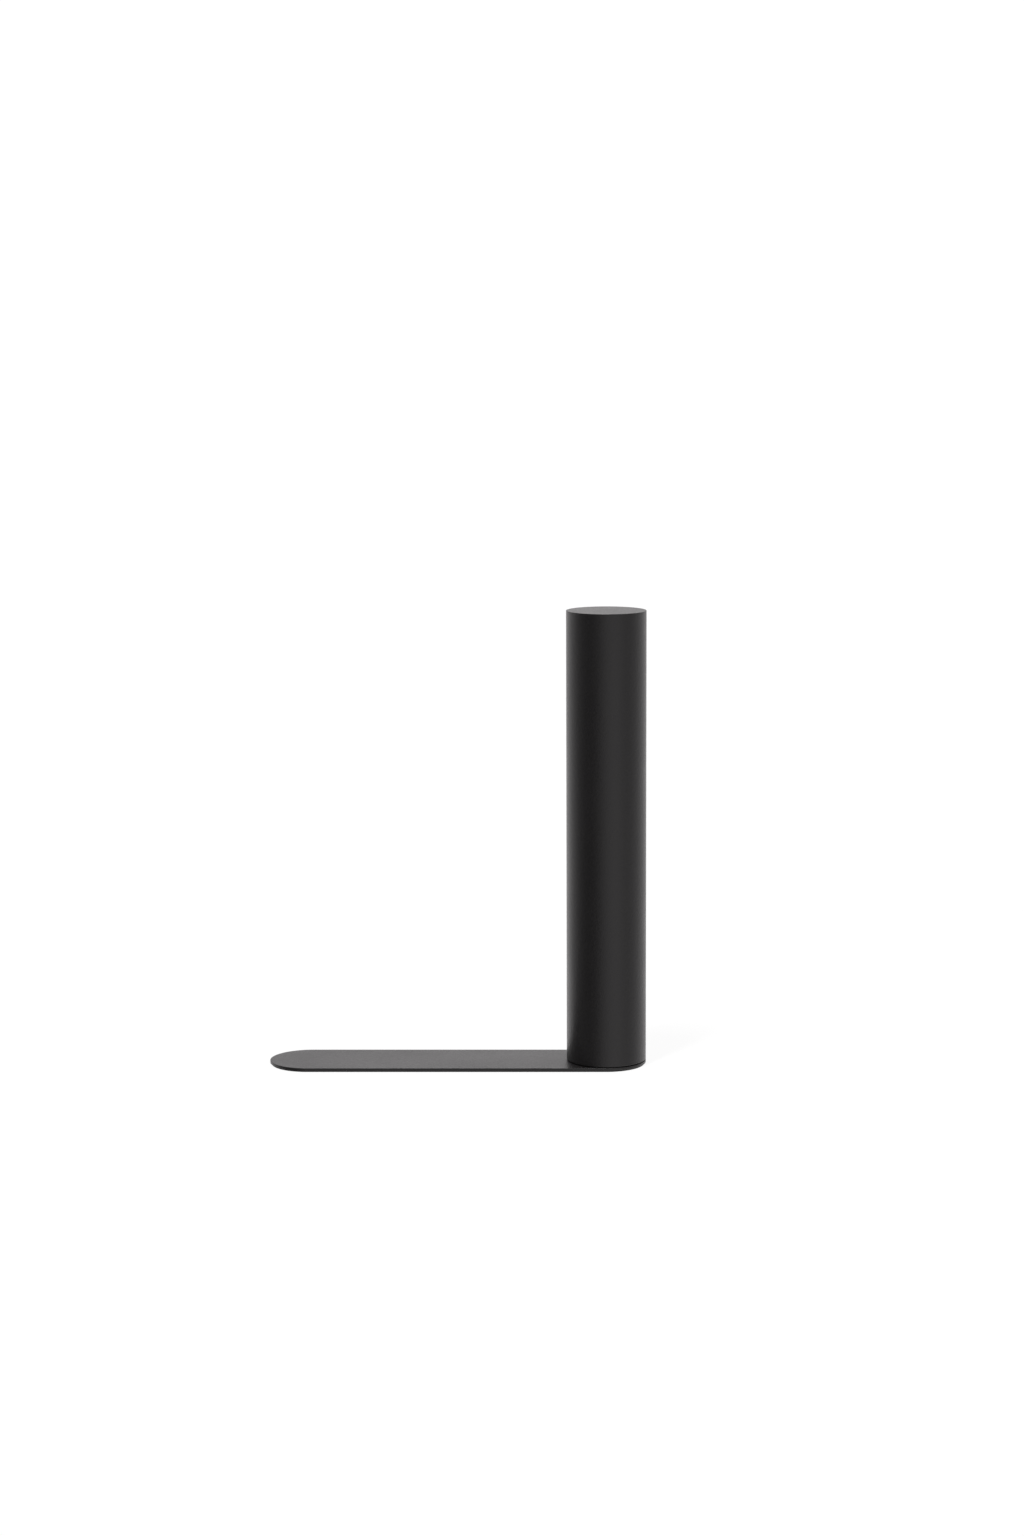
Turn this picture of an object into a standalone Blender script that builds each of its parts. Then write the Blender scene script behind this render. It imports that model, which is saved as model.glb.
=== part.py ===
"""Cylinder book end: a weighted steel column screwed to a thin, round-ended base plate.

The model stands on its foot sheet at Z = 0. X runs along the base plate, with the column at the +X
end, and Y runs across it. The origin is at the middle of the plate's length and width.
"""

import math

import bmesh
import bpy

MM = 0.001

# Overall sizes
OVERALL_HEIGHT = 172.5 * MM  # floor to the top of the column
PLATE_LENGTH = 142.5 * MM  # from end to end along X
COLUMN_DIAMETER = 30.0 * MM  # outside of the tube, and the width of the base plate

# Base plate and the sheet under it
PLATE_THICKNESS = 1.0 * MM
PLATE_EDGE_ROUND = 0.15 * MM
FOOT_THICKNESS = 0.5 * MM
FOOT_INSET = 0.6 * MM  # how far the foot's edge lies inside the plate's edge
FOOT_HOLE_CLEARANCE = 0.4 * MM  # radial, round each screw seat

# Gasket between plate and column
GASKET_THICKNESS = 0.3 * MM
GASKET_INSET = 0.6 * MM  # how far its edge lies inside the column's wall

# Column and what it holds
TUBE_WALL = 1.5 * MM
TUBE_TOP_ROUND = 0.25 * MM
TUBE_BOTTOM_ROUND = 0.2 * MM
CAP_THICKNESS = 3.0 * MM
BALLAST_LENGTH = 80.0 * MM
BALLAST_CLEARANCE = 0.5 * MM  # radial, so that the bar slides down the bore
BALLAST_CHAMFER = 1.0 * MM
SPACER_WALL = 1.2 * MM
PLUG_ROOF = 2.0 * MM  # solid steel left over the blind holes
PLUG_CHAMFER = 0.5 * MM  # lead-in at its top edge

# M4 countersunk screws with a hexagon socket
SCREW_DIAMETER = 4.0 * MM
SCREW_LENGTH = 12.0 * MM  # over the head
SCREW_HEAD_DIAMETER = 7.8 * MM
SCREW_HEAD_RIM = 0.25 * MM  # height of the straight rim below the cone
SCREW_HEAD_SINK = 0.05 * MM  # how far the head lies above the plate's underside
SCREW_TIP_CHAMFER = 0.5 * MM
SOCKET_ACROSS_FLATS = 2.5 * MM
SOCKET_DEPTH = 1.6 * MM
PLATE_HOLE_CLEARANCE = 0.25 * MM  # radial, round the shank
THREAD_RUN_OUT = 1.0 * MM  # depth of each tapped hole past the screw's tip
SCREW_EDGE_WALL = 0.8 * MM  # plug metal left outside each countersunk mouth

# Gaps between faces that touch on the real object
TOUCH_GAP = 0.3 * MM
LAYER_GAP = 0.05 * MM  # between the thin flat layers, where the larger gap would be a layer thick
SEAT_GAP = 0.1 * MM  # square to the cone, between screw head and seat
THREAD_GAP = 0.05 * MM  # radial, between screw and tapped hole

# Fineness of the round shapes
ROUND_SEGMENTS = 96  # of the column and of both ends of the plate together
SMALL_SEGMENTS = 32  # of the screws and their holes
ROUND_STEPS = 2  # of each rounded edge
CUT_MARGIN = 1.0 * MM  # how far a cutter runs past the face that it opens
SMOOTH_ANGLE = math.radians(30.0)
HEXAGON_SIDES = 6
LEVEL_TOLERANCE = 0.001 * MM  # within which an edge counts as lying at a height

# Worked out from the sizes above
SQRT2 = math.sqrt(2.0)  # a wall's thickness along the radius of its 45 degree cone
COLUMN_RADIUS = COLUMN_DIAMETER / 2
BORE_RADIUS = COLUMN_RADIUS - TUBE_WALL
ARC_CENTRE = PLATE_LENGTH / 2 - COLUMN_RADIUS  # X of the column's axis
PLATE_BOTTOM = FOOT_THICKNESS + LAYER_GAP
PLATE_TOP = PLATE_BOTTOM + PLATE_THICKNESS
GASKET_BOTTOM = PLATE_TOP + LAYER_GAP
COLUMN_BOTTOM = GASKET_BOTTOM + GASKET_THICKNESS + LAYER_GAP
CAP_BOTTOM = OVERALL_HEIGHT - CAP_THICKNESS

# Screw heads, the formed seats in the plate, and the plug's mouths that clear the seats
SCREW_RADIUS = SCREW_DIAMETER / 2
HEAD_RADIUS = SCREW_HEAD_DIAMETER / 2
HEAD_BOTTOM = PLATE_BOTTOM + SCREW_HEAD_SINK
SEAT_RADIUS = HEAD_RADIUS + SCREW_HEAD_SINK + SCREW_HEAD_RIM + SEAT_GAP * SQRT2
PLATE_HOLE_RADIUS = SCREW_RADIUS + PLATE_HOLE_CLEARANCE
DIMPLE_BOTTOM = PLATE_BOTTOM + PLATE_THICKNESS / 2
DIMPLE_TOP = PLATE_BOTTOM + SEAT_RADIUS - PLATE_HOLE_RADIUS + PLATE_THICKNESS / SQRT2
MOUTH_TOP = DIMPLE_TOP + TOUCH_GAP
THREAD_RADIUS = SCREW_RADIUS + THREAD_GAP
THREAD_TOP = HEAD_BOTTOM + SCREW_LENGTH + THREAD_RUN_OUT
PLUG_TOP = THREAD_TOP + PLUG_ROOF
PLUG_RADIUS = BORE_RADIUS - TOUCH_GAP


def seat_radius_at(z):
    """Radius of the conical screw seat in the plate at height z."""
    return SEAT_RADIUS - (z - PLATE_BOTTOM)


def dimple_radius_at(z):
    """Outer radius of the plate metal that is pressed up round a screw seat."""
    return seat_radius_at(z) + PLATE_THICKNESS * SQRT2


def mouth_radius_at(z):
    """Radius of the plug's countersunk mouth, which clears the pressed-up metal."""
    return dimple_radius_at(z) + TOUCH_GAP * SQRT2


SCREW_OFFSET = PLUG_RADIUS - mouth_radius_at(COLUMN_BOTTOM) - SCREW_EDGE_WALL
SCREW_PLACES = {"inner": -SCREW_OFFSET, "outer": SCREW_OFFSET}  # X from the column's axis


def clear_scene():
    """Remove every object that the file holds."""
    for thing in list(bpy.data.objects):
        bpy.data.objects.remove(thing, do_unlink=True)


def make_material(name, colour, roughness, metallic=0.0):
    """A Principled BSDF material with one colour, roughness and metallic value."""
    material = bpy.data.materials.new(name)
    material.use_nodes = True
    shader = material.node_tree.nodes["Principled BSDF"]
    shader.inputs["Base Color"].default_value = (*colour, 1.0)
    shader.inputs["Roughness"].default_value = roughness
    shader.inputs["Metallic"].default_value = metallic
    material.diffuse_color = (*colour, 1.0)
    return material


def make_axis(name, x):
    """An empty on an upright axis that pieces are parented to."""
    axis = bpy.data.objects.new(name, None)
    axis.location = (x, 0.0, 0.0)
    axis.empty_display_size = COLUMN_RADIUS
    bpy.context.scene.collection.objects.link(axis)
    return axis


def make_object(name, form, material, parent, x=0.0, z=0.0):
    """Turn a bmesh into an object at (x, 0, z) from its parent, and shade it smooth."""
    mesh = bpy.data.meshes.new(name)
    form.to_mesh(mesh)
    form.free()
    mesh.shade_smooth()
    mesh.set_sharp_from_angle(angle=SMOOTH_ANGLE)
    thing = bpy.data.objects.new(name, mesh)
    thing.location = (x, 0.0, z)
    thing.parent = parent
    bpy.context.scene.collection.objects.link(thing)
    if material:
        mesh.materials.append(material)
    return thing


def make_tool(name, form, parent, x, z):
    """An object that only cuts or joins: drawn as wire and left out of the render."""
    tool = make_object(name, form, None, parent, x, z)
    tool.hide_render = True
    tool.display_type = "WIRE"
    return tool


def combine(target, tool, operation):
    """Add an exact Boolean of the tool to the target."""
    boolean = target.modifiers.new(tool.name, "BOOLEAN")
    boolean.operation = operation
    boolean.solver = "EXACT"
    boolean.object = tool


def level_edges(form, z):
    """The edges that lie flat at height z."""
    return [
        edge for edge in form.edges if all(abs(v.co.z - z) < LEVEL_TOLERANCE for v in edge.verts)
    ]


def round_edges(form, z, width, steps=ROUND_STEPS):
    """Round or chamfer the outline that lies at height z."""
    bmesh.ops.bevel(
        form,
        geom=level_edges(form, z),
        offset=width,
        segments=steps,
        profile=0.5,
        affect="EDGES",
    )


def rod(radius, height, segments=ROUND_SEGMENTS, top_radius=None):
    """A solid cylinder, or a cone frustum, that stands on Z = 0."""
    form = bmesh.new()
    bmesh.ops.create_cone(
        form,
        cap_ends=True,
        segments=segments,
        radius1=radius,
        radius2=radius if top_radius is None else top_radius,
        depth=height,
    )
    bmesh.ops.translate(form, verts=form.verts, vec=(0.0, 0.0, height / 2))
    return form


def pipe(outer_radius, inner_radius, height):
    """A tube that stands on Z = 0, turned from the rectangle of its wall."""
    form = bmesh.new()
    corners = (
        (outer_radius, 0.0),
        (outer_radius, height),
        (inner_radius, height),
        (inner_radius, 0.0),
    )
    wall = [form.verts.new((r, 0.0, z)) for r, z in corners]
    edges = [form.edges.new((wall[i - 1], wall[i])) for i in range(len(wall))]
    bmesh.ops.spin(
        form,
        geom=wall + edges,
        cent=(0.0, 0.0, 0.0),
        axis=(0.0, 0.0, 1.0),
        angle=math.tau,
        steps=ROUND_SEGMENTS,
        use_merge=True,
    )
    bmesh.ops.recalc_face_normals(form, faces=form.faces)
    return form


def sweep_end(form, start, centre_x):
    """Sweep half a turn from the vertex start about (centre_x, 0), and return the last vertex."""
    swept = bmesh.ops.spin(
        form,
        geom=[start],
        cent=(centre_x, 0.0, 0.0),
        axis=(0.0, 0.0, 1.0),
        angle=math.pi,
        steps=ROUND_SEGMENTS // 2,
    )
    return next(item for item in swept["geom_last"] if isinstance(item, bmesh.types.BMVert))


def round_ended_slab(inset, thickness):
    """A slab on Z = 0 with the plate's outline moved in by inset."""
    radius = COLUMN_RADIUS - inset
    form = bmesh.new()
    first = form.verts.new((ARC_CENTRE, -radius, 0.0))
    far_right = sweep_end(form, first, ARC_CENTRE)
    far_left = form.verts.new((-ARC_CENTRE, radius, 0.0))
    form.edges.new((far_right, far_left))
    last = sweep_end(form, far_left, -ARC_CENTRE)
    form.edges.new((last, first))
    bmesh.ops.edgeloop_fill(form, edges=form.edges)
    raised = bmesh.ops.extrude_face_region(form, geom=form.faces[:])
    top = [item for item in raised["geom"] if isinstance(item, bmesh.types.BMVert)]
    bmesh.ops.translate(form, verts=top, vec=(0.0, 0.0, thickness))
    bmesh.ops.recalc_face_normals(form, faces=form.faces)
    return form


def drill(target, name, radius, bottom, top, axis):
    """Cut a round hole between two heights of the target at each screw."""
    for place, x in SCREW_PLACES.items():
        form = rod(radius, top - bottom, SMALL_SEGMENTS)
        combine(target, make_tool(f"{name}_{place}", form, axis, x, bottom), "DIFFERENCE")


def cone(radius_at, bottom, top):
    """The frustum between two heights of a 45 degree cone, standing on Z = 0."""
    return rod(radius_at(bottom), top - bottom, SMALL_SEGMENTS, radius_at(top))


def make_foot(material, axis):
    """The thin anti-slip sheet that the book end stands on, open under each screw head."""
    foot = make_object("anti_slip_foot", round_ended_slab(FOOT_INSET, FOOT_THICKNESS), material, None)
    radius = SEAT_RADIUS + FOOT_HOLE_CLEARANCE
    drill(foot, "foot_hole", radius, -CUT_MARGIN, FOOT_THICKNESS + CUT_MARGIN, axis)


def make_plate(material, axis):
    """The base plate, with its metal pressed up into a conical seat at each screw."""
    form = round_ended_slab(0.0, PLATE_THICKNESS)
    round_edges(form, 0.0, PLATE_EDGE_ROUND)
    round_edges(form, PLATE_THICKNESS, PLATE_EDGE_ROUND)
    plate = make_object("base_plate", form, material, None, z=PLATE_BOTTOM)
    cone_top = PLATE_BOTTOM + SEAT_RADIUS - PLATE_HOLE_RADIUS
    below = PLATE_BOTTOM - CUT_MARGIN
    for place, x in SCREW_PLACES.items():
        dimple = cone(dimple_radius_at, DIMPLE_BOTTOM, DIMPLE_TOP)
        combine(plate, make_tool(f"dimple_{place}", dimple, axis, x, DIMPLE_BOTTOM), "UNION")
        seat = cone(seat_radius_at, below, cone_top)
        combine(plate, make_tool(f"seat_{place}", seat, axis, x, below), "DIFFERENCE")
    drill(plate, "plate_hole", PLATE_HOLE_RADIUS, PLATE_BOTTOM, DIMPLE_TOP + CUT_MARGIN, axis)


def make_gasket(material, axis):
    """The thin disc between plate and column, open round each pressed-up seat."""
    form = rod(COLUMN_RADIUS - GASKET_INSET, GASKET_THICKNESS)
    gasket = make_object("base_gasket", form, material, axis, z=GASKET_BOTTOM)
    radius = dimple_radius_at(GASKET_BOTTOM) + TOUCH_GAP
    top = GASKET_BOTTOM + GASKET_THICKNESS
    drill(gasket, "gasket_hole", radius, GASKET_BOTTOM - CUT_MARGIN, top + CUT_MARGIN, axis)


def make_tube(material, axis):
    """The column's tube, with both of its outer edges rounded."""
    height = OVERALL_HEIGHT - COLUMN_BOTTOM
    form = pipe(COLUMN_RADIUS, BORE_RADIUS, height)
    for z, width in ((0.0, TUBE_BOTTOM_ROUND), (height, TUBE_TOP_ROUND)):
        rims = level_edges(form, z)
        middle = (BORE_RADIUS + COLUMN_RADIUS) / 2
        outer = [edge for edge in rims if all(v.co.xy.length > middle for v in edge.verts)]
        bmesh.ops.bevel(
            form, geom=outer, offset=width, segments=ROUND_STEPS, profile=0.5, affect="EDGES"
        )
    make_object("column_tube", form, material, axis, z=COLUMN_BOTTOM)


def make_cap(material, axis):
    """The disc that closes the tube flush with its top."""
    make_object("top_cap", rod(PLUG_RADIUS, CAP_THICKNESS), material, axis, z=CAP_BOTTOM)


def make_plug(material, axis):
    """The plug in the foot of the tube, with a countersunk and tapped blind hole for each screw."""
    height = PLUG_TOP - COLUMN_BOTTOM
    form = rod(PLUG_RADIUS, height)
    round_edges(form, height, PLUG_CHAMFER, steps=1)
    plug = make_object("bottom_plug", form, material, axis, z=COLUMN_BOTTOM)
    below = COLUMN_BOTTOM - CUT_MARGIN
    for place, x in SCREW_PLACES.items():
        mouth = cone(mouth_radius_at, below, MOUTH_TOP)
        combine(plug, make_tool(f"mouth_{place}", mouth, axis, x, below), "DIFFERENCE")
    drill(plug, "thread", THREAD_RADIUS, COLUMN_BOTTOM, THREAD_TOP, axis)


def make_ballast(material, axis):
    """The steel bar that weights the foot of the column."""
    form = rod(BORE_RADIUS - BALLAST_CLEARANCE, BALLAST_LENGTH)
    round_edges(form, 0.0, BALLAST_CHAMFER, steps=1)
    round_edges(form, BALLAST_LENGTH, BALLAST_CHAMFER, steps=1)
    make_object("ballast_bar", form, material, axis, z=PLUG_TOP + TOUCH_GAP)


def make_spacer(material, axis):
    """The plastic tube between ballast and cap, which keeps the ballast down."""
    bottom = PLUG_TOP + TOUCH_GAP + BALLAST_LENGTH + TOUCH_GAP
    radius = BORE_RADIUS - BALLAST_CLEARANCE
    form = pipe(radius, radius - SPACER_WALL, CAP_BOTTOM - TOUCH_GAP - bottom)
    make_object("spacer_tube", form, material, axis, z=bottom)


def screw_form():
    """A countersunk screw that stands on its head: rim, 45 degree cone, shank and tip."""
    form = rod(HEAD_RADIUS, SCREW_HEAD_RIM, SMALL_SEGMENTS)
    head = max(form.faces, key=lambda face: face.calc_center_median().z)
    levels = (
        (SCREW_RADIUS, SCREW_HEAD_RIM + HEAD_RADIUS - SCREW_RADIUS),
        (SCREW_RADIUS, SCREW_LENGTH - SCREW_TIP_CHAMFER),
        (SCREW_RADIUS - SCREW_TIP_CHAMFER, SCREW_LENGTH),
    )
    radius, height = HEAD_RADIUS, SCREW_HEAD_RIM
    for next_radius, next_height in levels:
        grown = bmesh.ops.extrude_face_region(form, geom=[head])
        ring = [item for item in grown["geom"] if isinstance(item, bmesh.types.BMVert)]
        share = next_radius / radius
        bmesh.ops.scale(form, verts=ring, vec=(share, share, 1.0))
        bmesh.ops.translate(form, verts=ring, vec=(0.0, 0.0, next_height - height))
        bmesh.ops.delete(form, geom=[head], context="FACES_ONLY")
        head = next(item for item in grown["geom"] if isinstance(item, bmesh.types.BMFace))
        radius, height = next_radius, next_height
    bmesh.ops.recalc_face_normals(form, faces=form.faces)
    return form


def make_screws(material, axis):
    """The countersunk screws that clamp plate, gasket and column together from below."""
    for place, x in SCREW_PLACES.items():
        screw = make_object(f"base_screw_{place}", screw_form(), material, axis, x, HEAD_BOTTOM)
        form = rod(SOCKET_ACROSS_FLATS / math.sqrt(3.0), SOCKET_DEPTH + CUT_MARGIN, HEXAGON_SIDES)
        socket = make_tool(f"socket_{place}", form, axis, x, HEAD_BOTTOM - CUT_MARGIN)
        combine(screw, socket, "DIFFERENCE")


def build():
    """Make every piece of the book end."""
    clear_scene()
    coated_steel = make_material("coated_steel", (0.016, 0.016, 0.015), 0.45)
    bare_steel = make_material("bare_steel", (0.45, 0.44, 0.43), 0.35, metallic=1.0)
    zinc_steel = make_material("zinc_steel", (0.62, 0.63, 0.65), 0.3, metallic=1.0)
    foot_rubber = make_material("foot_rubber", (0.012, 0.012, 0.012), 0.85)
    gasket_rubber = make_material("gasket_rubber", (0.01, 0.01, 0.01), 0.9)
    spacer_plastic = make_material("spacer_plastic", (0.55, 0.55, 0.53), 0.5)
    axis = make_axis("column_axis", ARC_CENTRE)
    make_foot(foot_rubber, axis)
    make_plate(coated_steel, axis)
    make_gasket(gasket_rubber, axis)
    make_tube(coated_steel, axis)
    make_cap(coated_steel, axis)
    make_plug(bare_steel, axis)
    make_ballast(bare_steel, axis)
    make_spacer(spacer_plastic, axis)
    make_screws(zinc_steel, axis)


build()
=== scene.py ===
"""Looks of a cylinder book end: a weighted, powder-coated steel column on a thin round-ended plate.

The CAD model gives every size and place. The pieces that can be seen are modelled again here with
their coated edges, formed seats, sockets and threads, and the pieces sealed inside the column keep
their CAD meshes. All lengths are in metres, +Z is up, and X runs along the base plate.
"""

from __future__ import annotations

import logging
import math
from dataclasses import dataclass, field
from enum import Enum
from typing import Sequence

import bmesh
import bpy
from mathutils import Matrix, Vector


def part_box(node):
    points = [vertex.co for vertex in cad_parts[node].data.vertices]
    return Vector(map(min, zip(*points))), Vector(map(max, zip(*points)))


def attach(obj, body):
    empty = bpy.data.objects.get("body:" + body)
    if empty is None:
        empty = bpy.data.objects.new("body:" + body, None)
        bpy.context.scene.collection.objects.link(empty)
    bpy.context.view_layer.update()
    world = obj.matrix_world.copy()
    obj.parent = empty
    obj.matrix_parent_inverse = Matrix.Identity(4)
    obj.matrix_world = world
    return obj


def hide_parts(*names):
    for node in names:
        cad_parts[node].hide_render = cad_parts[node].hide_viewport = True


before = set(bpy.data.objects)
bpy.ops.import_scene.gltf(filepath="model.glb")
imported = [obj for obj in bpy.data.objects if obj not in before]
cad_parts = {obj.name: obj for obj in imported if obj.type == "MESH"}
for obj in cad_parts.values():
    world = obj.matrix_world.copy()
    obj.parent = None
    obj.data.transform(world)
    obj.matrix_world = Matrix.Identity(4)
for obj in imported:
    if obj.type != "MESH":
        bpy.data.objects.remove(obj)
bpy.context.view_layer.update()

LOG = logging.getLogger("book_end")
MM = 0.001
SQRT2 = math.sqrt(2.0)
BODY = "root"
SHARP_ANGLE = math.radians(35.0)
LEVEL_SLACK = 1e-6
MERGE_DISTANCE = 1e-7
WAVE_RATE = 20.0  # radians of a wave pattern in a metre, at a scale of 1
COLUMN_SEGMENTS = 256
SCREW_SEGMENTS = 48
HEXAGON_SIDES = 6

Colour = tuple[float, float, float]
Level = tuple[float, float]


class Slot(Enum):
    """The material slots that the record names."""

    COATED_STEEL = "coated_steel"
    FOOT_RUBBER = "foot_rubber"
    GASKET_RUBBER = "gasket_rubber"
    BARE_STEEL = "bare_steel"
    ZINC_STEEL = "zinc_steel"
    SPACER_PLASTIC = "spacer_plastic"


@dataclass(frozen=True)
class Wire:
    """The value of a node's output, on which Python arithmetic adds Math nodes."""

    graph: Graph
    socket: bpy.types.NodeSocket | None

    def _math(self, operation: str, first: Wire | float, second: Wire | float) -> Wire:
        """Add a Math node.

        Args:
            operation: The Math node's operation.
            first: Its first value.
            second: Its second value.

        Returns:
            The node's result.
        """
        return self.graph.node("ShaderNodeMath", {"operation": operation}, {0: first, 1: second})

    def __add__(self, other: Wire | float) -> Wire:
        """Return self + other."""
        return self._math("ADD", self, other)

    def __radd__(self, other: float) -> Wire:
        """Return other + self."""
        return self._math("ADD", other, self)

    def __sub__(self, other: Wire | float) -> Wire:
        """Return self - other."""
        return self._math("SUBTRACT", self, other)

    def __rsub__(self, other: float) -> Wire:
        """Return other - self."""
        return self._math("SUBTRACT", other, self)

    def __mul__(self, other: Wire | float) -> Wire:
        """Return self * other."""
        return self._math("MULTIPLY", self, other)

    def __rmul__(self, other: float) -> Wire:
        """Return other * self."""
        return self._math("MULTIPLY", other, self)


class Graph:
    """A node tree that is written one node at a time."""

    def __init__(self, tree: bpy.types.NodeTree) -> None:
        """Start from an empty tree.

        Args:
            tree: The material's or world's node tree.
        """
        self.tree = tree
        tree.nodes.clear()

    def node(
        self,
        kind: str,
        settings: dict[str, object] | None = None,
        inputs: dict[str | int, object] | None = None,
        output: str | int = 0,
    ) -> Wire:
        """Add a node, set it up and connect it.

        Args:
            kind: The node's type.
            settings: Its properties, set first. "stops" holds a colour ramp's (place, colour) pairs.
            inputs: A value or a Wire for each of its sockets.
            output: The socket that is wanted from it.

        Returns:
            The wanted output, or an empty Wire from a node that has none.
        """
        made = self.tree.nodes.new(kind)
        for name, value in (settings or {}).items():
            if name == "stops":
                self._set_stops(made.color_ramp, value)
            else:
                setattr(made, name, value)
        for key, value in (inputs or {}).items():
            if isinstance(value, Wire):
                self.tree.links.new(value.socket, made.inputs[key])
            else:
                made.inputs[key].default_value = value
        return Wire(self, made.outputs[output] if len(made.outputs) else None)

    @staticmethod
    def _set_stops(ramp: bpy.types.ColorRamp, stops: Sequence[tuple[float, Colour]]) -> None:
        """Give a colour ramp its stops.

        Args:
            ramp: The colour ramp.
            stops: Place and colour of each stop, in order, at least two.
        """
        while len(ramp.elements) < len(stops):
            ramp.elements.new(1.0)
        for element, (place, colour) in zip(ramp.elements, stops):
            element.position = place
            element.color = (*colour, 1.0)

    def noise(self, place: Wire, size: float, detail: float = 2.0, roughness: float = 0.5) -> Wire:
        """Add a noise pattern.

        Args:
            place: Where it is read.
            size: Width of its features, in metres.
            detail: Its octaves of finer noise.
            roughness: How strong each finer octave is.

        Returns:
            The noise, from 0 to 1 with a mean of a half.
        """
        values = {"Vector": place, "Scale": 1.0 / size, "Detail": detail, "Roughness": roughness}
        return self.node("ShaderNodeTexNoise", {"noise_dimensions": "3D"}, values, "Fac")

    def bump(self, height: Wire) -> Wire:
        """Turn a height in metres into a surface normal."""
        return self.node("ShaderNodeBump", {}, {"Height": height, "Distance": 1.0}, "Normal")


@dataclass(frozen=True)
class Finish:
    """What every finish has: its slot, colour and gloss."""

    slot: Slot
    colour: Colour
    roughness: float
    metallic: float = 0.0
    ior: float = 1.5

    def material(self) -> bpy.types.Material:
        """Make the finish's material.

        Returns:
            A material with a Principled BSDF whose pattern is the finish's own.
        """
        made = bpy.data.materials.new(f"{self.slot.value}_finish")
        made.use_nodes = True
        made.diffuse_color = (*self.colour, 1.0)
        graph = Graph(made.node_tree)
        place = graph.node("ShaderNodeTexCoord", output="Object")
        values = {
            "Base Color": (*self.colour, 1.0),
            "Roughness": self.roughness,
            "Metallic": self.metallic,
            "IOR": self.ior,
        }
        values.update(self.pattern(graph, place))
        shader = graph.node("ShaderNodeBsdfPrincipled", {}, values, "BSDF")
        graph.node("ShaderNodeOutputMaterial", {}, {"Surface": shader})
        return made

    def pattern(self, graph: Graph, place: Wire) -> dict[str, object]:
        """Make what varies over the surface.

        Args:
            graph: The material's graph.
            place: Object coordinates.

        Returns:
            A Wire for each shader socket that varies.
        """
        raise NotImplementedError

    def gloss(self, *swings: tuple[Wire, float]) -> Wire:
        """Vary the roughness round its mean.

        Args:
            *swings: Patterns from 0 to 1, each with how far it swings the roughness.

        Returns:
            The varying roughness.
        """
        return sum(((pattern - 0.5) * swing for pattern, swing in swings), self.roughness)

    def tinted(self, graph: Graph, mask: Wire, other: Colour) -> Wire:
        """Mix the finish's colour towards another.

        Args:
            graph: The material's graph.
            mask: 0 for the finish's colour, 1 for the other.
            other: The other colour.

        Returns:
            The mixed colour.
        """
        settings = {"data_type": "RGBA", "blend_type": "MIX"}
        values = {0: mask, 6: (*self.colour, 1.0), 7: (*other, 1.0)}
        return graph.node("ShaderNodeMix", settings, values, 2)


@dataclass(frozen=True)
class PowderCoat(Finish):
    """Fine-textured powder coat: a dense grain over a slight, wider waviness."""

    grain_size: float = 0.6 * MM
    grain_height: float = 0.055 * MM
    wave_size: float = 1.3 * MM
    wave_height: float = 0.035 * MM
    cloud_size: float = 24.0 * MM
    grain_roughness: float = 0.20
    cloud_roughness: float = 0.08
    # Painted glints: the lighter colour that the grain mixes in, partly the coat's random tone, partly
    # painted micro-glints.
    lighter: Colour = (0.0084, 0.0074, 0.0080)

    def pattern(self, graph: Graph, place: Wire) -> dict[str, object]:
        """Make the grain, the waviness and the slight unevenness of gloss, with painted glints: the
        grain lightens the colour in specks.

        Args:
            graph: The material's graph.
            place: Object coordinates.

        Returns:
            A Wire for each shader socket that varies.
        """
        grain = graph.noise(place, self.grain_size, detail=3.0, roughness=0.6)
        wave = graph.noise(place, self.wave_size, detail=1.0)
        cloud = graph.noise(place, self.cloud_size)
        height = grain * self.grain_height + wave * self.wave_height
        return {
            # Painted glints: the grain lightens the base colour in specks, partly random coat tone,
            # partly painted micro-glints.
            "Base Color": self.tinted(graph, grain, self.lighter),
            "Roughness": self.gloss((grain, self.grain_roughness), (cloud, self.cloud_roughness)),
            "Normal": graph.bump(height),
        }


@dataclass(frozen=True)
class SheetRubber(Finish):
    """Calendered rubber sheet with a fine fabric-like press mark."""

    mark_size: float = 0.35 * MM
    mark_height: float = 0.02 * MM
    mark_randomness: float = 0.35
    dust_size: float = 2.8 * MM
    dust_roughness: float = 0.1
    lighter: Colour = (0.02, 0.02, 0.02)

    def pattern(self, graph: Graph, place: Wire) -> dict[str, object]:
        """Make the press mark and a little dust in its hollows.

        Args:
            graph: The material's graph.
            place: Object coordinates.

        Returns:
            A Wire for each shader socket that varies.
        """
        weave = {
            "Vector": place,
            "Scale": 1.0 / self.mark_size,
            "Randomness": self.mark_randomness,
        }
        cells = graph.node("ShaderNodeTexVoronoi", {}, weave, "Distance")
        dust = graph.noise(place, self.dust_size)
        return {
            "Base Color": self.tinted(graph, cells * dust, self.lighter),
            "Roughness": self.gloss((dust, self.dust_roughness)),
            "Normal": graph.bump(cells * self.mark_height),
        }


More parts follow.
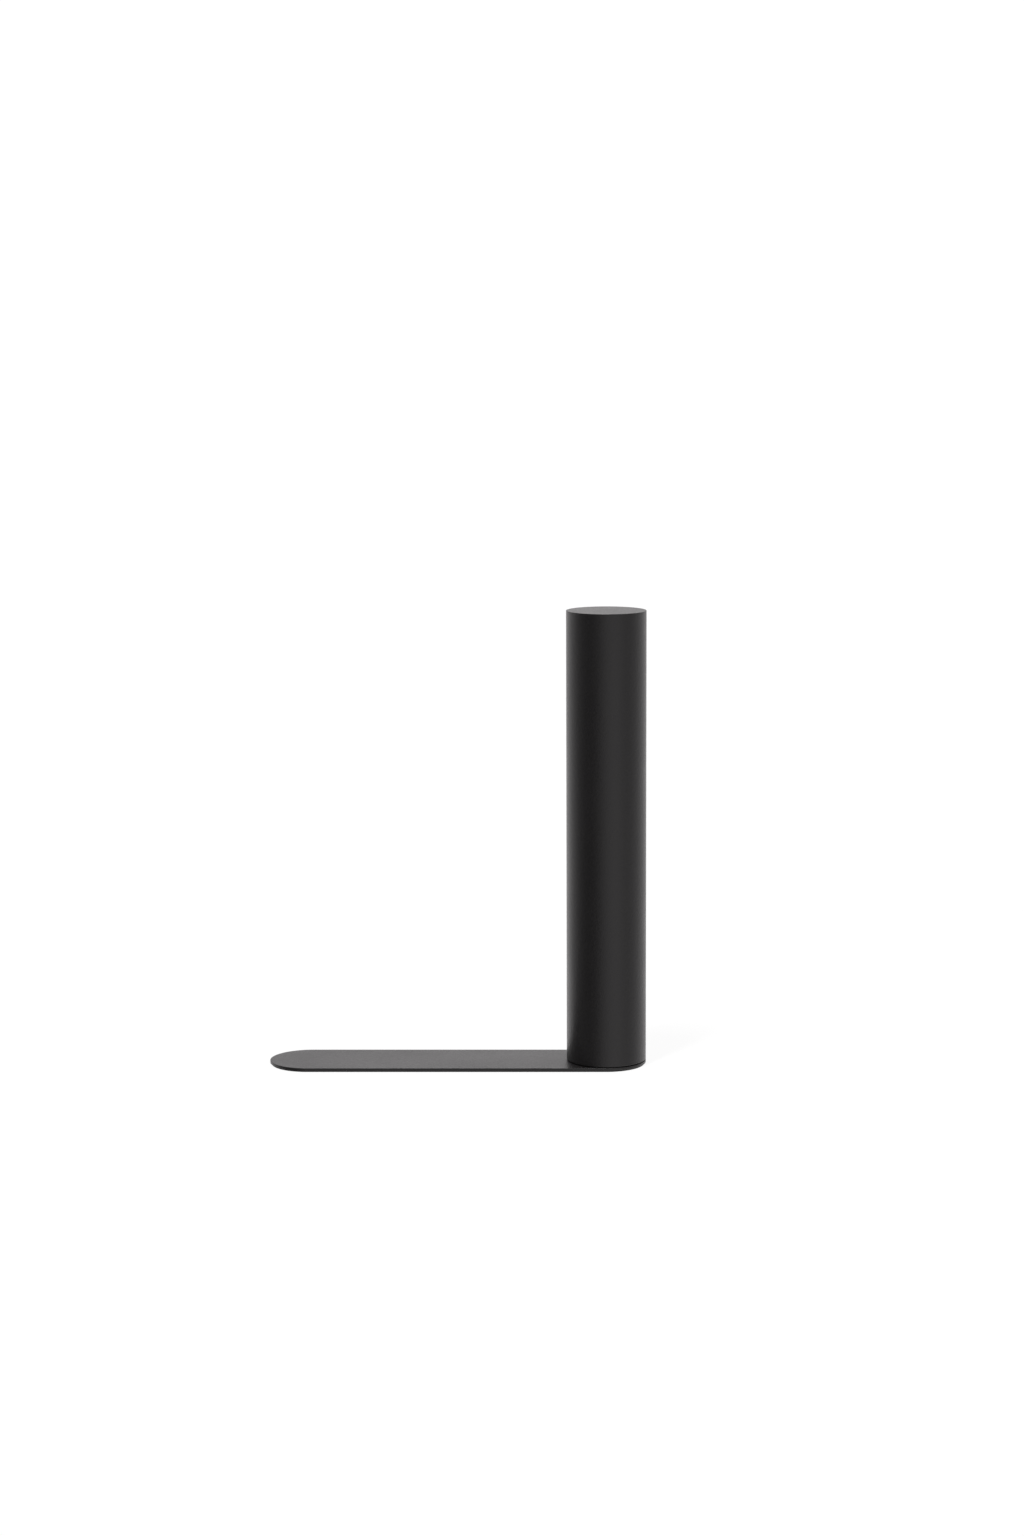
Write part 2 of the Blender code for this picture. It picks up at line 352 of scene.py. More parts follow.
@dataclass(frozen=True)
class TurnedSteel(Finish):
    """Steel straight from the lathe, with fine feed marks round its axis."""

    feed: float = 0.35530576 * MM
    feed_unevenness: float = 0.4
    mark_height: float = 0.003 * MM
    mark_roughness: float = 0.08
    stain_size: float = 7.0 * MM
    stain_roughness: float = 0.12
    stain: Colour = (0.30, 0.29, 0.28)

    def pattern(self, graph: Graph, place: Wire) -> dict[str, object]:
        """Make the feed marks along the axis and faint storage stains.

        Args:
            graph: The material's graph.
            place: Object coordinates.

        Returns:
            A Wire for each shader socket that varies.
        """
        settings = {"wave_type": "BANDS", "bands_direction": "Z", "wave_profile": "SIN"}
        spacing = {
            "Vector": place,
            "Scale": math.tau / (WAVE_RATE * self.feed),
            "Distortion": self.feed_unevenness,
        }
        marks = graph.node("ShaderNodeTexWave", settings, spacing, "Fac")
        stains = graph.noise(place, self.stain_size, detail=4.0)
        return {
            "Base Color": self.tinted(graph, stains * stains, self.stain),
            "Roughness": self.gloss((marks, self.mark_roughness), (stains, self.stain_roughness)),
            "Normal": graph.bump(marks * self.mark_height),
        }


@dataclass(frozen=True)
class ZincPlate(Finish):
    """Bright zinc plating with a faint bluish, mottled passivation."""

    mottle_size: float = 1.1 * MM
    mottle_roughness: float = 0.14
    pit_size: float = 0.165 * MM
    pit_height: float = 0.002 * MM
    passivated: Colour = (0.50, 0.54, 0.60)

    def pattern(self, graph: Graph, place: Wire) -> dict[str, object]:
        """Make the mottle in colour and gloss, and the plating's fine pitting.

        Args:
            graph: The material's graph.
            place: Object coordinates.

        Returns:
            A Wire for each shader socket that varies.
        """
        mottle = graph.noise(place, self.mottle_size, detail=3.0)
        pits = graph.noise(place, self.pit_size)
        return {
            "Base Color": self.tinted(graph, mottle, self.passivated),
            "Roughness": self.gloss((mottle, self.mottle_roughness)),
            "Normal": graph.bump(pits * self.pit_height),
        }


@dataclass(frozen=True)
class ExtrudedPlastic(Finish):
    """Natural extruded plastic with faint die lines along its length."""

    line_size: float = 0.5 * MM
    line_height: float = 0.004 * MM
    line_stretch: float = 0.02
    line_roughness: float = 0.1
    cloud_size: float = 9.0 * MM
    clouded: Colour = (0.62, 0.61, 0.57)

    def pattern(self, graph: Graph, place: Wire) -> dict[str, object]:
        """Make the die lines and the plastic's slight cloudiness.

        Args:
            graph: The material's graph.
            place: Object coordinates.

        Returns:
            A Wire for each shader socket that varies.
        """
        stretch = {"Vector": place, "Scale": (1.0, 1.0, self.line_stretch)}
        lines = graph.noise(graph.node("ShaderNodeMapping", {}, stretch), self.line_size)
        cloud = graph.noise(place, self.cloud_size)
        return {
            "Base Color": self.tinted(graph, cloud, self.clouded),
            "Roughness": self.gloss((lines, self.line_roughness)),
            "Normal": graph.bump(lines * self.line_height),
        }


FINISHES: tuple[Finish, ...] = (
    PowderCoat(Slot.COATED_STEEL, (0.0014, 0.0010, 0.0012), 0.42),
    SheetRubber(Slot.FOOT_RUBBER, (0.012, 0.012, 0.012), 0.85),
    SheetRubber(Slot.GASKET_RUBBER, (0.008, 0.008, 0.008), 0.9, mark_height=0.005 * MM),
    TurnedSteel(Slot.BARE_STEEL, (0.45, 0.44, 0.43), 0.36, metallic=1.0),
    ZincPlate(Slot.ZINC_STEEL, (0.66, 0.67, 0.69), 0.3, metallic=1.0),
    ExtrudedPlastic(Slot.SPACER_PLASTIC, (0.55, 0.54, 0.51), 0.5),
)


@dataclass
class Extent:
    """The box of one CAD node."""

    low: Vector
    high: Vector

    @classmethod
    def of(cls, node: str) -> Extent:
        """Read a node's box.

        Args:
            node: The node's name.

        Returns:
            Its box at rest.
        """
        return cls(*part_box(node))

    @property
    def centre_x(self) -> float:
        """Middle of the box along X."""
        return (self.low.x + self.high.x) / 2

    @property
    def radius(self) -> float:
        """Half of the width across Y."""
        return (self.high.y - self.low.y) / 2


class Shape:
    """A mesh that is being shaped with bmesh operators."""

    def __init__(self) -> None:
        """Start empty."""
        self.form = bmesh.new()

    def ring(
        self, radius: float, z: float, x: float = 0.0, segments: int = COLUMN_SEGMENTS
    ) -> list[bmesh.types.BMEdge]:
        """Add a circle of edges.

        Args:
            radius: From its centre to its vertices.
            z: Its height.
            x: Its centre along X.
            segments: How many edges it has.

        Returns:
            Its edges.
        """
        place = Matrix.Translation((x, 0.0, z))
        made = bmesh.ops.create_circle(
            self.form, cap_ends=False, radius=radius, segments=segments, matrix=place
        )
        return list(dict.fromkeys(edge for vert in made["verts"] for edge in vert.link_edges))

    def join(self, first: list[bmesh.types.BMEdge], second: list[bmesh.types.BMEdge]) -> None:
        """Join two loops of edges, by a flat ring where both lie at one height, else by a wall.

        Args:
            first: One loop.
            second: The other.
        """
        heights = [vert.co.z for edge in first + second for vert in edge.verts]
        if max(heights) - min(heights) < LEVEL_SLACK:
            self.fill(first, second)
        else:
            bmesh.ops.bridge_loops(self.form, edges=first + second)

    def turn(
        self,
        levels: Sequence[Level],
        x: float = 0.0,
        segments: int = COLUMN_SEGMENTS,
        start: list[bmesh.types.BMEdge] | None = None,
    ) -> tuple[list[bmesh.types.BMEdge], list[bmesh.types.BMEdge]]:
        """Raise a wall through circles of given radii and heights.

        Args:
            levels: Radius and height of each circle, in order.
            x: The centre along X.
            segments: Edges in each circle.
            start: A loop to start from, joined to the first circle.

        Returns:
            The first and the last loop.
        """
        rings = [self.ring(radius, z, x, segments) for radius, z in levels]
        if start:
            rings.insert(0, start)
        for first, second in zip(rings, rings[1:]):
            self.join(first, second)
        return rings[0], rings[-1]

    def fill(self, *loops: list[bmesh.types.BMEdge]) -> None:
        """Fill the flat space between the given loops."""
        edges = [edge for loop in loops for edge in loop]
        bmesh.ops.triangle_fill(self.form, edges=edges, use_beauty=True, use_dissolve=False)

    def flat_face(self, z: float) -> bmesh.types.BMFace:
        """Find the largest face that lies flat at height z."""
        level = [f for f in self.form.faces if all(abs(v.co.z - z) < LEVEL_SLACK for v in f.verts)]
        return max(level, key=lambda face: face.calc_area())

    def level_edges(self, z: float) -> list[bmesh.types.BMEdge]:
        """Find the edges that lie flat at height z."""
        return [e for e in self.form.edges if all(abs(v.co.z - z) < LEVEL_SLACK for v in e.verts)]

    def bevel(self, edges: list[bmesh.types.BMEdge], width: float, segments: int = 4) -> None:
        """Round off edges.

        Args:
            edges: The edges.
            width: The rounding's radius on a square edge.
            segments: Its number of steps.
        """
        bmesh.ops.bevel(
            self.form,
            geom=edges,
            offset=width,
            segments=segments,
            profile=0.5,
            affect="EDGES",
            material=-1,
        )

    def brace_flat(self, faces: list[bmesh.types.BMFace], width: float) -> None:
        """Keep flat faces flat in shading, with a narrow band of faces inside their borders."""
        bmesh.ops.inset_region(
            self.form, faces=faces, thickness=width, use_even_offset=True, use_boundary=True
        )

    def brace_wall(self, z: float) -> None:
        """Keep an upright wall straight in shading, with a cut through all faces at height z."""
        everything = self.form.verts[:] + self.form.edges[:] + self.form.faces[:]
        bmesh.ops.bisect_plane(
            self.form, geom=everything, plane_co=(0.0, 0.0, z), plane_no=(0.0, 0.0, 1.0)
        )

    def sweep_end(self, start: bmesh.types.BMVert, x: float, steps: int) -> bmesh.types.BMVert:
        """Sweep a vertex half a turn about an upright axis.

        Args:
            start: The vertex.
            x: The axis's place along X.
            steps: Edges in the half turn.

        Returns:
            The last vertex of the arc.
        """
        swept = bmesh.ops.spin(
            self.form,
            geom=[start],
            cent=(x, 0.0, 0.0),
            axis=(0.0, 0.0, 1.0),
            angle=math.pi,
            steps=steps,
        )
        return next(v for v in swept["geom_last"] if isinstance(v, bmesh.types.BMVert))

    def round_ended_slab(self, radius: float, reach: float, low: float, high: float) -> None:
        """Make a slab with round ends.

        Args:
            radius: Of its ends, half of its width.
            reach: X of the centre of its +X end, with the other end's at -X.
            low: Height of its underside.
            high: Height of its top.
        """
        half = COLUMN_SEGMENTS // 2
        first = self.form.verts.new((reach, -radius, low))
        right = self.sweep_end(first, reach, half)
        left = self.form.verts.new((-reach, radius, low))
        self.form.edges.new((right, left))
        last = self.sweep_end(left, -reach, half)
        self.form.edges.new((last, first))
        bmesh.ops.edgeloop_fill(self.form, edges=self.form.edges)
        raised = bmesh.ops.extrude_face_region(self.form, geom=self.form.faces[:])
        top = [v for v in raised["geom"] if isinstance(v, bmesh.types.BMVert)]
        bmesh.ops.translate(self.form, verts=top, vec=(0.0, 0.0, high - low))
        bmesh.ops.recalc_face_normals(self.form, faces=self.form.faces)

    def open_flat(self, z: float, *holes: list[bmesh.types.BMEdge]) -> None:
        """Put holes in the largest flat face at one height.

        Args:
            z: The height.
            *holes: The loops of edges that bound the holes.
        """
        face = self.flat_face(z)
        rim = list(face.edges)
        bmesh.ops.delete(self.form, geom=[face], context="FACES_ONLY")
        self.fill(rim, *holes)

    def finish(self, name: str, material: bpy.types.Material) -> bpy.types.Object:
        """Turn the shape into an object at the origin.

        Args:
            name: The object's name.
            material: Its material.

        Returns:
            The object, shaded smooth but for its sharp edges.
        """
        bmesh.ops.remove_doubles(self.form, verts=self.form.verts, dist=MERGE_DISTANCE)
        bmesh.ops.recalc_face_normals(self.form, faces=self.form.faces)
        mesh = bpy.data.meshes.new(name)
        self.form.to_mesh(mesh)
        self.form.free()
        mesh.shade_smooth()
        mesh.set_sharp_from_angle(angle=SHARP_ANGLE)
        mesh.materials.append(material)
        piece = bpy.data.objects.new(name, mesh)
        bpy.context.scene.collection.objects.link(piece)
        return piece


@dataclass
class Workshop:
    """Hands out materials and enters finished pieces in the model."""

    materials: dict[Slot, bpy.types.Material] = field(default_factory=dict)

    def prepare(self, finishes: Sequence[Finish]) -> None:
        """Make each finish's material once."""
        self.materials = {finish.slot: finish.material() for finish in finishes}

    def enter(self, shape: Shape, name: str, slot: Slot, *nodes: str) -> bpy.types.Object:
        """Finish a piece that stands for CAD nodes.

        Args:
            shape: The piece's mesh.
            name: The piece's name.
            slot: Its material slot.
            *nodes: The CAD nodes that it stands for.

        Returns:
            The piece.
        """
        piece = shape.finish(name, self.materials[slot])
        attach(piece, BODY)
        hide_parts(*nodes)
        LOG.info("%s: %d faces, for %s", name, len(piece.data.polygons), ", ".join(nodes))
        return piece

    def dress(self, node: str, slot: Slot) -> None:
        """Give a CAD node that stays its finished material.

        Args:
            node: The node's name.
            slot: Its material slot.
        """
        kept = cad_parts[node].data
        kept.materials.clear()
        kept.materials.append(self.materials[slot])
        LOG.info("%s: CAD mesh kept, %s", node, slot.value)


@dataclass
class ScrewSeat:
    """One countersunk screw's place, and the metal pressed up round its head."""

    x: float
    head_radius: float
    head_bottom: float
    plate_bottom: float
    plate_top: float
    dimple_top: float
    rim: float = 0.25 * MM
    gap: float = 0.1 * MM
    hole_radius: float = 2.25 * MM

    @property
    def mouth_radius(self) -> float:
        """Radius of the seat where it opens in the plate's underside."""
        rise = self.head_bottom + self.rim - self.plate_bottom
        return self.head_radius + rise + self.gap * SQRT2

    @property
    def thickness(self) -> float:
        """Thickness of the plate."""
        return self.plate_top - self.plate_bottom

    def levels(self) -> list[Level]:
        """List the seat's section, from its mouth below, through the hole, to the plate's top.

        Returns:
            Radius and height of each corner, with both slopes at 45 degrees.
        """
        inner_top = self.plate_bottom + self.mouth_radius - self.hole_radius
        rim_radius = self.hole_radius + self.thickness / SQRT2
        foot_radius = self.mouth_radius + self.thickness * (SQRT2 - 1.0)
        return [
            (self.mouth_radius, self.plate_bottom),
            (self.hole_radius, inner_top),
            (self.hole_radius, self.dimple_top),
            (rim_radius, self.dimple_top),
            (foot_radius, self.plate_top),
        ]


@dataclass
class Base:
    """The base plate, the sheet under it, the gasket on it and the screws through it."""

    edge_round: float = 0.09 * MM
    brace: float = 0.25 * MM
    sheet_edge: float = 0.05 * MM
    foot_hole_clearance: float = 0.4 * MM
    dimple_clearance: float = 0.3 * MM
    plate: Extent = field(default_factory=lambda: Extent.of("base_plate"))
    foot: Extent = field(default_factory=lambda: Extent.of("anti_slip_foot"))
    gasket: Extent = field(default_factory=lambda: Extent.of("base_gasket"))

    @property
    def reach(self) -> float:
        """X of the column's axis, which is the centre of the plate's +X end."""
        return self.gasket.centre_x

    @property
    def plate_top(self) -> float:
        """Height of the plate's top: as far below the gasket as its underside is above the foot."""
        return self.gasket.low.z - (self.plate.low.z - self.foot.high.z)

    def seats(self) -> list[ScrewSeat]:
        """Read each screw's place from the CAD model.

        Returns:
            The inner seat and the outer one.
        """
        found = []
        for node in ("base_screw_inner", "base_screw_outer"):
            screw = Extent.of(node)
            found.append(
                ScrewSeat(
                    x=screw.centre_x,
                    head_radius=screw.radius,
                    head_bottom=screw.low.z,
                    plate_bottom=self.plate.low.z,
                    plate_top=self.plate_top,
                    dimple_top=self.plate.high.z,
                )
            )
        return found

    def build(self, shop: Workshop) -> None:
        """Build every piece of the base.

        Args:
            shop: Where they are entered.
        """
        self.build_plate(shop)
        self.build_foot(shop)
        self.build_gasket(shop)
        for name, seat in zip(("inner", "outer"), self.seats()):
            screw = CountersunkScrew(seat, Extent.of(f"base_screw_{name}").high.z)
            screw.build(shop, f"socket_screw_{name}", f"base_screw_{name}")

    def build_plate(self, shop: Workshop) -> None:
        """Build the coated plate with its rounded edge and its two formed screw seats.

        Args:
            shop: Where it is entered.
        """
        shape = Shape()
        low, high = self.plate.low.z, self.plate_top
        shape.round_ended_slab(self.plate.radius, self.reach, low, high)
        for z in (low, high):
            shape.bevel(shape.level_edges(z), self.edge_round)
        for z in (low, high):
            shape.brace_flat([shape.flat_face(z)], self.brace)
        loops = [shape.turn(seat.levels(), seat.x, SCREW_SEGMENTS) for seat in self.seats()]
        shape.open_flat(low, *(first for first, _ in loops))
        shape.open_flat(high, *(last for _, last in loops))
        shop.enter(shape, "coated_plate", Slot.COATED_STEEL, "base_plate")

    def build_foot(self, shop: Workshop) -> None:
        """Build the anti-slip sheet with its access holes.

        Args:
            shop: Where it is entered.
        """
        shape = Shape()
        low, high = self.foot.low.z, self.foot.high.z
        shape.round_ended_slab(self.foot.radius, self.reach, low, high)
        for z in (low, high):
            shape.bevel(shape.level_edges(z), self.sheet_edge, segments=2)
            shape.brace_flat([shape.flat_face(z)], self.brace)
        loops = []
        for seat in self.seats():
            radius = seat.mouth_radius + self.foot_hole_clearance
            eased = radius + self.sheet_edge
            section = [
                (eased, low),
                (radius, low + self.sheet_edge),
                (radius, high - self.sheet_edge),
                (eased, high),
            ]
            loops.append(shape.turn(section, seat.x, SCREW_SEGMENTS))
        shape.open_flat(low, *(first for first, _ in loops))
        shape.open_flat(high, *(last for _, last in loops))
        shop.enter(shape, "foot_sheet", Slot.FOOT_RUBBER, "anti_slip_foot")

    def build_gasket(self, shop: Workshop) -> None:
        """Build the thin disc between plate and column, open round each formed seat.

        Args:
            shop: Where it is entered.
        """
        shape = Shape()
        low, high = self.gasket.low.z, self.gasket.high.z
        ease = self.sheet_edge
        radius = self.gasket.radius
        rim = [(radius - ease, low), (radius, low + ease), (radius, high - ease), (radius - ease, high)]
        bottom, top = shape.turn(rim, self.reach)
        bottoms, tops = [bottom], [top]
        for seat in self.seats():
            # The seat's outer slope passes the gasket's underside at this radius.
            slope = seat.mouth_radius + seat.thickness * SQRT2 - (low - seat.plate_bottom)
            hole = slope + self.dimple_clearance
            first, last = shape.turn([(hole, low), (hole, high)], seat.x, SCREW_SEGMENTS)
            bottoms.append(first)
            tops.append(last)
        shape.fill(*bottoms)
        shape.fill(*tops)
        shop.enter(shape, "gasket_disc", Slot.GASKET_RUBBER, "base_gasket")


@dataclass
class CountersunkScrew:
    """An M4 countersunk screw with a hexagon socket, head down."""

    seat: ScrewSeat
    tip: float
    radius: float = 2.0 * MM
    pitch: float = 0.7 * MM
    thread_depth: float = 0.43 * MM
    thread_flat: float = 0.1
    neck: float = 0.5 * MM
    tip_chamfer: float = 0.5 * MM
    head_ease: float = 0.1 * MM
    socket_flats: float = 2.5 * MM
    socket_depth: float = 1.6 * MM
    socket_chamfer: float = 0.15 * MM
    rows_per_turn: int = 10

    def build(self, shop: Workshop, name: str, node: str) -> None:
        """Build the screw as one closed mesh, from the socket's floor to the tip.

        Args:
            shop: Where it is entered.
            name: The piece's name.
            node: The CAD node that it stands for.
        """
        shape = Shape()
        x, low = self.seat.x, self.seat.head_bottom
        corner = self.socket_flats / math.sqrt(3.0)
        socket = [
            (corner, low + self.socket_depth),
            (corner, low + self.socket_chamfer),
            (corner + self.socket_chamfer, low),
        ]
        bottom, mouth = shape.turn(socket, x, HEXAGON_SIDES)
        shape.fill(bottom)
        neck_bottom = low + self.seat.rim + self.seat.head_radius - self.radius
        thread_bottom = neck_bottom + self.neck
        head = [
            (self.seat.head_radius - self.head_ease, low),
            (self.seat.head_radius, low + self.head_ease),
            (self.seat.head_radius, low + self.seat.rim),
            (self.radius, neck_bottom),
        ]
        rim, neck = shape.turn(head, x, SCREW_SEGMENTS)
        shape.fill(mouth, rim)
        thread_top = self.tip - self.tip_chamfer
        rows = round((thread_top - thread_bottom) / self.pitch * self.rows_per_turn)
        step = (thread_top - thread_bottom) / rows
        shank = [(self.radius, thread_bottom + row * step) for row in range(rows + 1)]
        shank.append((self.radius - self.tip_chamfer, self.tip))
        _, end = shape.turn(shank, x, SCREW_SEGMENTS, neck)
        shape.fill(end)
        self.cut_thread(shape, thread_bottom, thread_top)
        shop.enter(shape, name, Slot.ZINC_STEEL, node)

    def cut_thread(self, shape: Shape, bottom: float, top: float) -> None:
        """Sink a helical groove into the shank, running out at both ends.

        Args:
            shape: The screw's mesh, with rows of vertices along its shank.
            bottom: Height where the thread starts.
            top: Height where it ends.
        """
        axis = Vector((self.seat.x, 0.0))
        for vert in shape.form.verts:
            if not bottom <= vert.co.z <= top:
                continue
            spoke = vert.co.xy - axis
            turns = (vert.co.z - bottom) / self.pitch - math.atan2(spoke.y, spoke.x) / math.tau
            flank = abs(2.0 * (turns % 1.0) - 1.0)
            cut = min(max((flank - self.thread_flat) / (1.0 - 2.0 * self.thread_flat), 0.0), 1.0)
            fade = min((vert.co.z - bottom) / self.pitch, (top - vert.co.z) / self.pitch, 1.0)
            sunk = axis + spoke * (1.0 - self.thread_depth * cut * fade / self.radius)
            vert.co.x, vert.co.y = sunk


@dataclass
class Column:
    """The coated tube and its cap, and the plug, ballast and spacer inside them."""

    top_round: float = 0.12 * MM
    bottom_round: float = 0.08 * MM
    brace: float = 0.3 * MM
    cap_chamfer: float = 0.4 * MM
    wall: float = 1.5 * MM
    tube: Extent = field(default_factory=lambda: Extent.of("column_tube"))
    cap: Extent = field(default_factory=lambda: Extent.of("top_cap"))

    @property
    def bore(self) -> float:
        """Radius of the tube's bore."""
        return self.tube.radius - self.wall

    def build(self, shop: Workshop) -> None:
        """Build the tube and cap, and dress the pieces inside.

        Args:
            shop: Where they are entered.
        """
        self.build_tube(shop)
        self.build_cap(shop)
        shop.dress("bottom_plug", Slot.BARE_STEEL)
        shop.dress("ballast_bar", Slot.BARE_STEEL)
        shop.dress("spacer_tube", Slot.SPACER_PLASTIC)

    def build_tube(self, shop: Workshop) -> None:
        """Build the coated tube with both outer edges rounded over by the coating.

        Args:
            shop: Where it is entered.
        """
        shape = Shape()
        low, high, radius = self.tube.low.z, self.tube.high.z, self.tube.radius
        section = [(self.bore, low), (radius, low), (radius, high), (self.bore, high)]
        first, last = shape.turn(section, self.tube.centre_x)
        shape.join(last, first)
        for z, width in ((low, self.bottom_round), (high, self.top_round)):
            rims = shape.level_edges(z)
            axis = Vector((self.tube.centre_x, 0.0))
            middle = (self.bore + radius) / 2
            outer = [e for e in rims if all((v.co.xy - axis).length > middle for v in e.verts)]
            shape.bevel(outer, width, segments=5)
            flats = [f for f in shape.form.faces if all(abs(v.co.z - z) < LEVEL_SLACK for v in f.verts)]
            shape.brace_flat(flats, self.brace)
        for z in (low + self.bottom_round + self.brace, high - self.top_round - self.brace):
            shape.brace_wall(z)
        shop.enter(shape, "coated_tube", Slot.COATED_STEEL, "column_tube")

    def build_cap(self, shop: Workshop) -> None:
        """Build the cap, welded into the bore and ground flush under the coating.

        Args:
            shop: Where it is entered.
        """
        shape = Shape()
        low, high = self.cap.low.z, self.cap.high.z
        section = [
            (self.bore - self.cap_chamfer, low),
            (self.bore, low + self.cap_chamfer),
            (self.bore, high),
        ]
        first, last = shape.turn(section, self.cap.centre_x)
        bmesh.ops.edgeloop_fill(shape.form, edges=first)
        bmesh.ops.edgeloop_fill(shape.form, edges=last)
        shop.enter(shape, "coated_cap", Slot.COATED_STEEL, "top_cap")


@dataclass(frozen=True)
class TentRing:
    """How bright the white tent round the set is at one height, in equal steps of bearing."""

    elevation: float
    levels: tuple[float, ...]

    def stops(self, peak: float) -> list[tuple[float, Colour]]:
        """List a colour ramp's stops, from behind the set round by its left, front and right.

        Args:
            peak: The level that the ramp shows as white.

        Returns:
            Place and grey of each stop, closed with the first level again.
        """
        closed = (*self.levels, self.levels[0])
        return [(step / len(self.levels), (level / peak,) * 3) for step, level in enumerate(closed)]


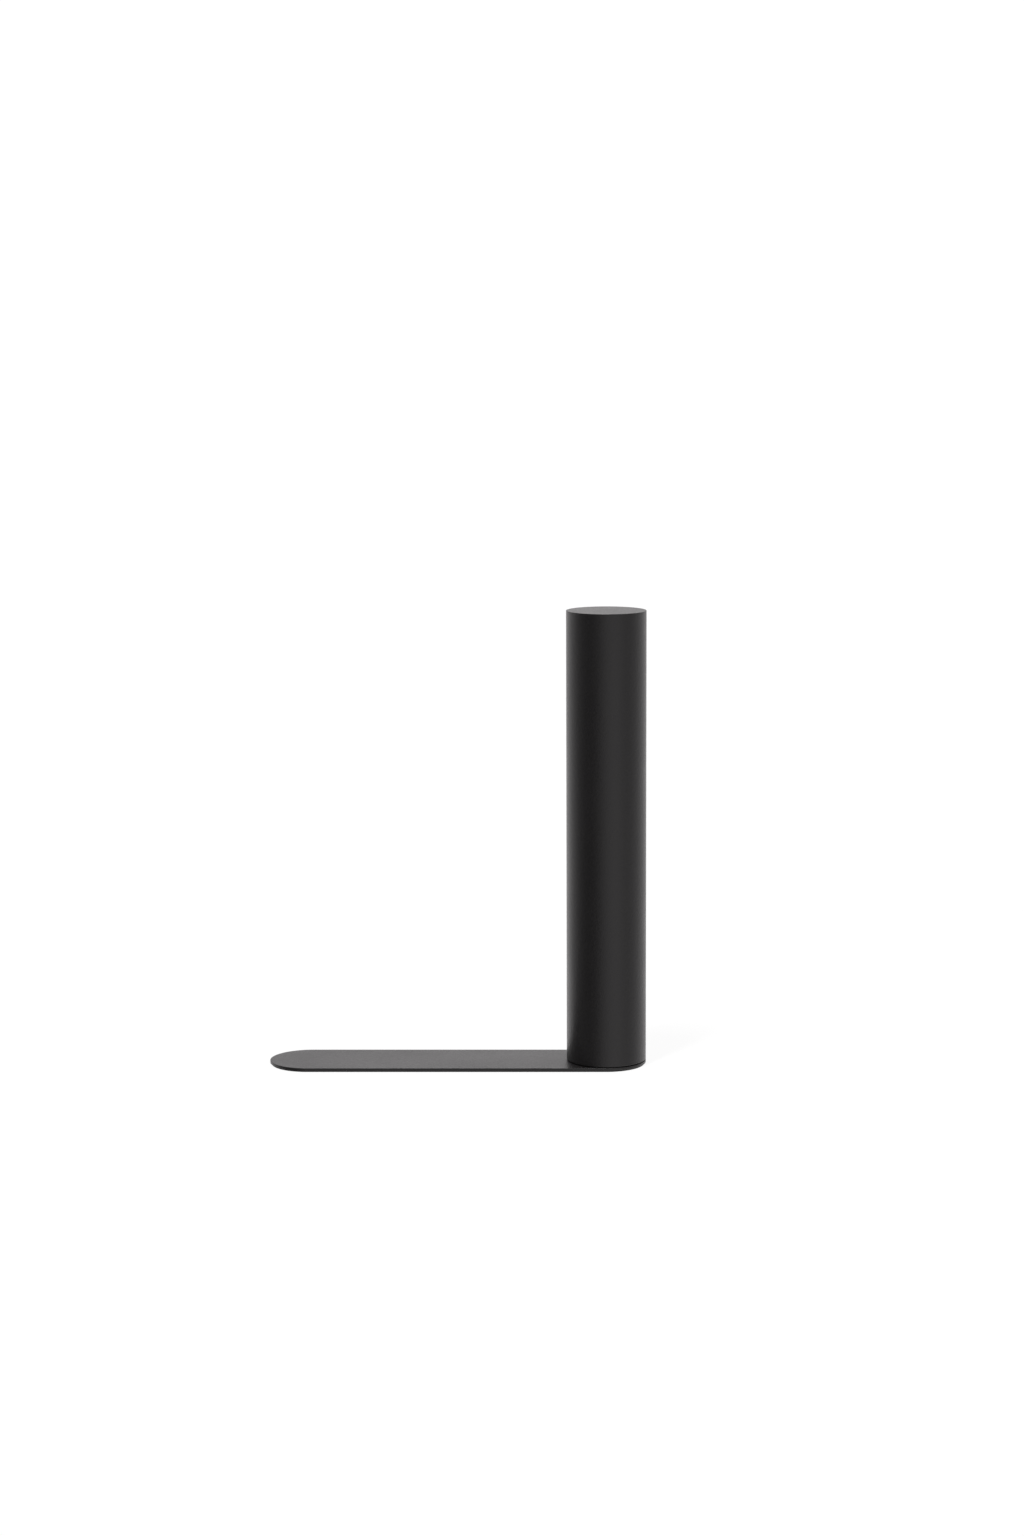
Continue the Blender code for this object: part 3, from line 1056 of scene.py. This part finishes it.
@dataclass
class Studio:
    """A white lit floor in a white light tent, one strip of key light and the camera."""

    camera_distance: float = 1.1876
    camera_height: float = 0.29108
    camera_tilt: float = math.radians(8.518)
    focal_length: float = 75.15
    sensor: float = 36.0
    side_shift: float = -0.0614
    clip_start: float = 0.01
    clip_end: float = 20.0
    floor_radius: float = 4.0
    floor_drop: float = 0.02 * MM
    floor_paint: float = 0.06
    floor_mottle: float = 0.04
    floor_mottle_size: float = 0.2
    floor_glow: float = 0.93
    backdrop: float = 1.08
    key_side: tuple[float, float] = (-0.477, -0.879)
    key_elevations: tuple[float, ...] = (67.5, 70.0, 72.5, 75.0, 77.5)
    key_angle: float = math.radians(3.0)
    key_strength: float = 2.5
    peak: float = 1.8
    tent_colour: Colour = (1.0, 0.978, 0.984)
    tent: tuple[TentRing, ...] = (
        TentRing(-50.0, (1.60, 1.50, 1.23, 0.77, 0.37, 0.36, 0.75, 1.12, 1.27, 1.41, 1.54, 1.60)),
        TentRing(-15.0, (1.78, 1.64, 1.30, 0.38, 0.04, 0.04, 0.92, 1.16, 0.50, 0.74, 1.17, 1.33)),
        TentRing(15.0, (1.22, 0.55, 0.25, 0.25, 0.25, 0.25, 0.45, 0.47, 0.25, 0.27, 0.65, 1.14)),
        TentRing(50.0, (1.00, 0.80, 0.80, 0.80, 0.80, 0.80, 0.80, 0.80, 0.80, 0.88, 1.03, 1.10)),
    )

    def build(self, column_x: float) -> None:
        """Set up floor, tent, light and camera.

        Args:
            column_x: X of the column's axis, which the camera faces.
        """
        bpy.context.scene.view_settings.view_transform = "Standard"
        self.build_floor()
        self.build_tent()
        self.build_key()
        self.build_camera(column_x)
        LOG.info("studio: floor, tent, key light and camera")

    def build_floor(self) -> None:
        """Lay the white floor just below the foot, out of the reflections, which the tent gives."""
        shape = Shape()
        bmesh.ops.create_circle(shape.form, cap_ends=True, radius=self.floor_radius, segments=128)
        bmesh.ops.translate(shape.form, verts=shape.form.verts, vec=(0.0, 0.0, -self.floor_drop))
        floor = shape.finish("studio_floor", self.floor_material())
        floor.visible_glossy = False
        floor.visible_diffuse = False

    def floor_material(self) -> bpy.types.Material:
        """Make the floor's finish.

        Returns:
            A lit white sheet with a very faint mottle in its paint.
        """
        made = bpy.data.materials.new("studio_floor")
        made.use_nodes = True
        graph = Graph(made.node_tree)
        place = graph.node("ShaderNodeTexCoord", output="Object")
        mottle = (graph.noise(place, self.floor_mottle_size) - 0.5) * self.floor_mottle
        values = {
            "Base Color": mottle + self.floor_paint,
            "Roughness": 1.0,
            "Specular IOR Level": 0.0,
            "Emission Color": (1.0, 1.0, 1.0, 1.0),
            "Emission Strength": self.floor_glow,
        }
        shader = graph.node("ShaderNodeBsdfPrincipled", {}, values, "BSDF")
        graph.node("ShaderNodeOutputMaterial", {}, {"Surface": shader})
        return made

    def tent_level(self, graph: Graph) -> Wire:
        """Work out the tent's brightness in the direction that is looked in.

        Args:
            graph: The world's graph.

        Returns:
            The brightness, straight between one ring's level and the next one's.
        """
        ray = graph.node("ShaderNodeTexCoord", output="Generated")
        x, forward, height = (
            graph.node("ShaderNodeVectorMath", {"operation": "DOT_PRODUCT"}, {0: ray, 1: axis}, "Value")
            for axis in ((1.0, 0.0, 0.0), (0.0, -1.0, 0.0), (0.0, 0.0, 1.0))
        )
        bearing = graph.node("ShaderNodeMath", {"operation": "ARCTAN2"}, {0: x, 1: forward})
        elevation = graph.node("ShaderNodeMath", {"operation": "ARCSINE"}, {0: height})
        turn = bearing * (1.0 / math.tau) + 0.5
        levels = [
            graph.node("ShaderNodeValToRGB", {"stops": ring.stops(self.peak)}, {"Fac": turn})
            for ring in self.tent
        ]
        blend = levels[0]
        for lower, upper, level in zip(self.tent, self.tent[1:], levels[1:]):
            reach = {
                "Value": elevation,
                "From Min": math.radians(lower.elevation),
                "From Max": math.radians(upper.elevation),
            }
            blend = blend + (level - blend) * graph.node("ShaderNodeMapRange", {}, reach)
        return blend * self.peak

    def build_tent(self) -> None:
        """Put the light tent round the scene, seen by the camera as plain white."""
        world = bpy.data.worlds.new("tent")
        world.use_nodes = True
        bpy.context.scene.world = world
        graph = Graph(world.node_tree)
        level = self.tent_level(graph)
        seen = graph.node("ShaderNodeLightPath", output="Is Camera Ray")
        strength = level + (self.backdrop - level) * seen
        white = {"Color": (*self.tent_colour, 1.0), "Strength": strength}
        light = graph.node("ShaderNodeBackground", {}, white)
        graph.node("ShaderNodeOutputWorld", {}, {"Surface": light})

    def build_key(self) -> None:
        """Hang the key, a tall narrow strip of light, high on the camera's left."""
        side = Vector(self.key_side).normalized()
        for elevation in self.key_elevations:
            light = bpy.data.lights.new("key_strip", "SUN")
            light.energy = self.key_strength / len(self.key_elevations)
            light.angle = self.key_angle
            angle = math.radians(elevation)
            towards = Vector((*(side * math.cos(angle)), math.sin(angle)))
            key = bpy.data.objects.new("key_strip", light)
            key.rotation_euler = towards.to_track_quat("Z", "Y").to_euler()
            bpy.context.scene.collection.objects.link(key)

    def build_camera(self, column_x: float) -> None:
        """Set the camera square in front of the column, tilted down a little.

        Args:
            column_x: X of the column's axis.
        """
        lens = bpy.data.cameras.new("camera")
        lens.lens = self.focal_length
        lens.sensor_width = self.sensor
        lens.shift_x = self.side_shift
        lens.clip_start = self.clip_start
        lens.clip_end = self.clip_end
        camera = bpy.data.objects.new("camera", lens)
        camera.location = (column_x, -self.camera_distance, self.camera_height)
        camera.rotation_euler = (math.pi / 2 - self.camera_tilt, 0.0, 0.0)
        bpy.context.scene.collection.objects.link(camera)
        bpy.context.scene.camera = camera


def main() -> None:
    """Build the book end's visible pieces and the studio round it."""
    logging.basicConfig(level=logging.INFO, format="%(name)s: %(message)s")
    shop = Workshop()
    shop.prepare(FINISHES)
    base = Base()
    base.build(shop)
    Column().build(shop)
    Studio().build(base.reach)


if __name__ == "__main__":
    main()
